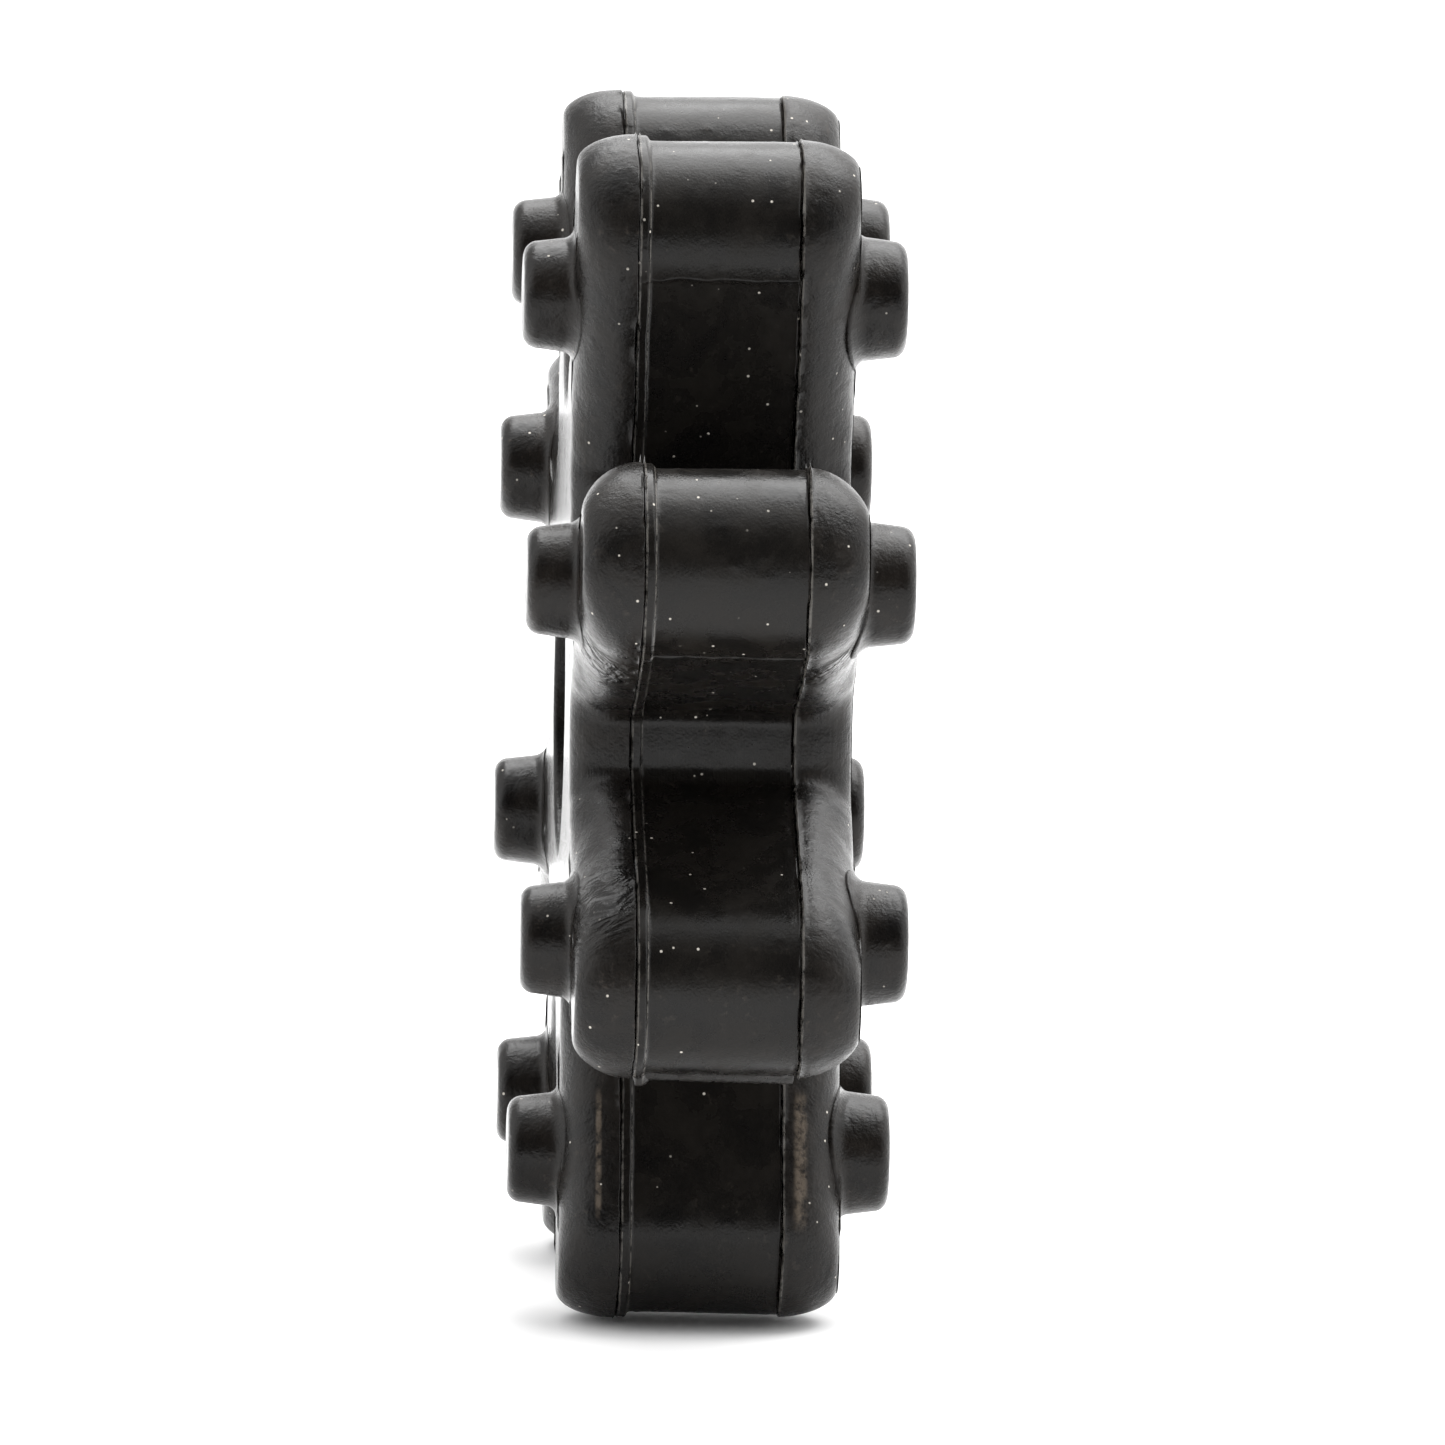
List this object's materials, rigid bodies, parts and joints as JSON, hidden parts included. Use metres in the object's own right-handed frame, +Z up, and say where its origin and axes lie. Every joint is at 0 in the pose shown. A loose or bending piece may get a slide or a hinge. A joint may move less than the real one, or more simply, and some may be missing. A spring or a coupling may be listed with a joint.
{
  "type": "rubber drive ring",
  "caption": "Moulded rubber drive ring: round-ended lugs on a bored web, a round stud on both sides of each lug, two seams all the way round.",
  "frame": {"origin": "centre of the bore, half way between the side faces", "axes": "+Y along the axis the ring turns about, from the left side face, with the smaller studs, to the right one; +Z up with the ring standing on two lugs; +X square to both"},
  "size_m": [0.1182, 0.038, 0.1182],
  "materials": {
    "centre_rubber": "satin moulded rubber, fine mottle",
    "cheek_rubber": "satin moulded rubber, wrinkled at the roots",
    "stud_rubber": "satin moulded rubber, scuffed ends",
    "core_steel": "drawn bar",
    "cord": "brass-washed stranded wire"
  },
  "bodies": {
    "web": {"web_centre": "centre_rubber", "web_left_cheek": "cheek_rubber", "web_right_cheek": "cheek_rubber", "left_cord_loop": "cord", "right_cord_loop": "cord"},
    "lug_1": {"lug_1_centre": "centre_rubber", "lug_1_left_cheek": "cheek_rubber", "lug_1_right_cheek": "cheek_rubber", "lug_1_core": "core_steel", "lug_1_left_stud": "stud_rubber", "lug_1_right_stud": "stud_rubber"},
    "lug_2": {"lug_2_centre": "centre_rubber", "lug_2_left_cheek": "cheek_rubber", "lug_2_right_cheek": "cheek_rubber", "lug_2_core": "core_steel", "lug_2_left_stud": "stud_rubber", "lug_2_right_stud": "stud_rubber"},
    "lug_3": {"lug_3_centre": "centre_rubber", "lug_3_left_cheek": "cheek_rubber", "lug_3_right_cheek": "cheek_rubber", "lug_3_core": "core_steel", "lug_3_left_stud": "stud_rubber", "lug_3_right_stud": "stud_rubber"},
    "lug_4": {"lug_4_centre": "centre_rubber", "lug_4_left_cheek": "cheek_rubber", "lug_4_right_cheek": "cheek_rubber", "lug_4_core": "core_steel", "lug_4_left_stud": "stud_rubber", "lug_4_right_stud": "stud_rubber"},
    "lug_5": {"lug_5_centre": "centre_rubber", "lug_5_left_cheek": "cheek_rubber", "lug_5_right_cheek": "cheek_rubber", "lug_5_core": "core_steel", "lug_5_left_stud": "stud_rubber", "lug_5_right_stud": "stud_rubber"},
    "lug_6": {"lug_6_centre": "centre_rubber", "lug_6_left_cheek": "cheek_rubber", "lug_6_right_cheek": "cheek_rubber", "lug_6_core": "core_steel", "lug_6_left_stud": "stud_rubber", "lug_6_right_stud": "stud_rubber"},
    "lug_7": {"lug_7_centre": "centre_rubber", "lug_7_left_cheek": "cheek_rubber", "lug_7_right_cheek": "cheek_rubber", "lug_7_core": "core_steel", "lug_7_left_stud": "stud_rubber", "lug_7_right_stud": "stud_rubber"},
    "lug_8": {"lug_8_centre": "centre_rubber", "lug_8_left_cheek": "cheek_rubber", "lug_8_right_cheek": "cheek_rubber", "lug_8_core": "core_steel", "lug_8_left_stud": "stud_rubber", "lug_8_right_stud": "stud_rubber"}
  },
  "joints": [
    {"name": "lug_1_flex", "type": "hinge", "parent": "web", "child": "lug_1", "pos_m": [0.03234, 0, 0.01339], "axis": [0, 1, 0], "range_deg": [-6, 6], "stiffness_Nm_per_rad": 3},
    {"name": "lug_2_flex", "type": "hinge", "parent": "web", "child": "lug_2", "pos_m": [0.01339, 0, 0.03234], "axis": [0, 1, 0], "range_deg": [-6, 6], "stiffness_Nm_per_rad": 3},
    {"name": "lug_3_flex", "type": "hinge", "parent": "web", "child": "lug_3", "pos_m": [-0.01339, 0, 0.03234], "axis": [0, 1, 0], "range_deg": [-6, 6], "stiffness_Nm_per_rad": 3},
    {"name": "lug_4_flex", "type": "hinge", "parent": "web", "child": "lug_4", "pos_m": [-0.03234, 0, 0.01339], "axis": [0, 1, 0], "range_deg": [-6, 6], "stiffness_Nm_per_rad": 3},
    {"name": "lug_5_flex", "type": "hinge", "parent": "web", "child": "lug_5", "pos_m": [-0.03234, 0, -0.01339], "axis": [0, 1, 0], "range_deg": [-6, 6], "stiffness_Nm_per_rad": 3},
    {"name": "lug_6_flex", "type": "hinge", "parent": "web", "child": "lug_6", "pos_m": [-0.01339, 0, -0.03234], "axis": [0, 1, 0], "range_deg": [-6, 6], "stiffness_Nm_per_rad": 3},
    {"name": "lug_7_flex", "type": "hinge", "parent": "web", "child": "lug_7", "pos_m": [0.01339, 0, -0.03234], "axis": [0, 1, 0], "range_deg": [-6, 6], "stiffness_Nm_per_rad": 3},
    {"name": "lug_8_flex", "type": "hinge", "parent": "web", "child": "lug_8", "pos_m": [0.03234, 0, -0.01339], "axis": [0, 1, 0], "range_deg": [-6, 6], "stiffness_Nm_per_rad": 3}
  ]
}
